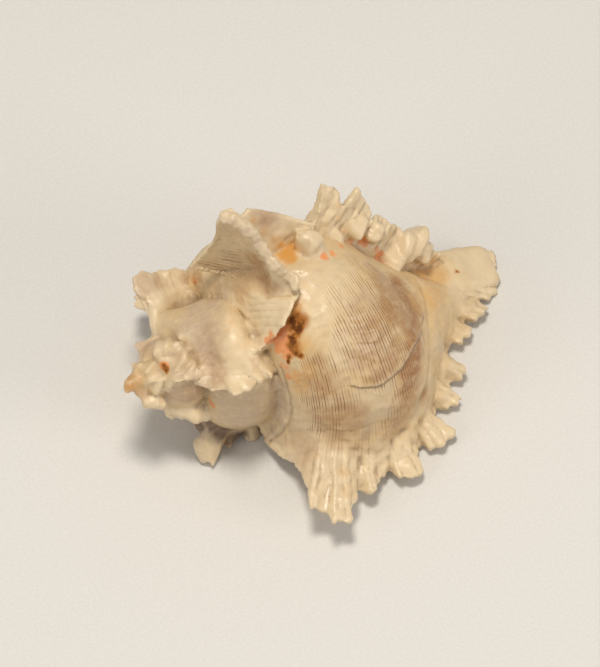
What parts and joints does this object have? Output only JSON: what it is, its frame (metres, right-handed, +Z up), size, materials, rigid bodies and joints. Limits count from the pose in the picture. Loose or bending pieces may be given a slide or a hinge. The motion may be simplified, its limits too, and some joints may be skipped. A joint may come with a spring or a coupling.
{
  "type": "murex shell",
  "caption": "Right-handed spiny sea snail shell with a stepped spire, varices set with hollow fronds, an oval aperture underneath and a broad flattened siphonal canal.",
  "frame": {"origin": "centre of the bounding box in plan, on the surface that the shell rests on", "axes": "+X from the apex towards the tip of the canal, +Z up, -Y towards the side that the picture shows"},
  "size_m": [0.1574, 0.1242, 0.1027],
  "materials": {
    "ivory_shell": "satin"
  },
  "bodies": {
    "root": {"murex_shell": "ivory_shell"}
  },
  "joints": []
}
